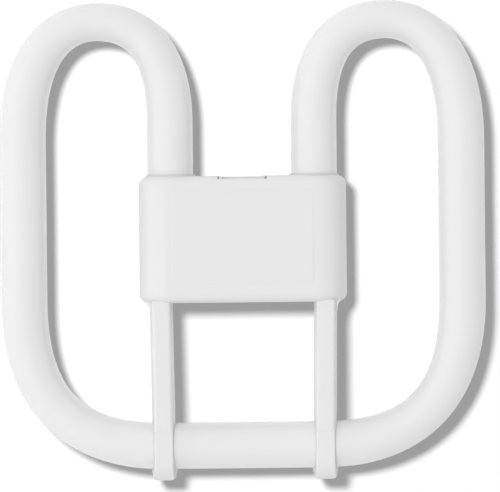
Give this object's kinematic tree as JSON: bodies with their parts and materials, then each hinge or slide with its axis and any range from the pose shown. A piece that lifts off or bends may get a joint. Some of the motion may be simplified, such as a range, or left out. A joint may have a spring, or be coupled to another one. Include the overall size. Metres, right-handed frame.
{
  "type": "square compact fluorescent lamp",
  "caption": "Flat square discharge lamp: a bent opal glass tube in a white plastic base, with clip arms and a recessed pin cap.",
  "frame": {"origin": "middle of the lamp's outline, in the plane of the base's flat back face", "axes": "+Z out of the lamp's front, +Y from the clip arms towards the cap's recess, +X across the lamp"},
  "size_m": [0.207, 0.204, 0.0311],
  "materials": {
    "opal_glass": "glossy opal white glass with its phosphor coat inside",
    "white_plastic": "satin white moulded thermoplastic",
    "silicone": "soft translucent silicone",
    "pin_brass": "nickel-plated brass, bright",
    "tinned_wire": "tinned copper, satin",
    "starter_glass": "clear glass",
    "capacitor_resin": "dipped resin, semi-gloss"
  },
  "bodies": {
    "root": {"discharge_tube": "opal_glass", "front_shell": "white_plastic", "rear_shell": "white_plastic", "seal_collar_left": "silicone", "seal_collar_right": "silicone", "contact_pin_left": "pin_brass", "contact_pin_right": "pin_brass", "pin_lead_left": "tinned_wire", "pin_lead_right": "tinned_wire", "starter_lead_left": "tinned_wire", "starter_lead_right": "tinned_wire", "bottle_lead_left": "tinned_wire", "bottle_lead_right": "tinned_wire", "capacitor_lead_left": "tinned_wire", "capacitor_lead_right": "tinned_wire", "crimp_ferrule_left": "tinned_wire", "crimp_ferrule_right": "tinned_wire", "starter_bottle": "starter_glass", "starter_capacitor": "capacitor_resin"}
  },
  "joints": []
}
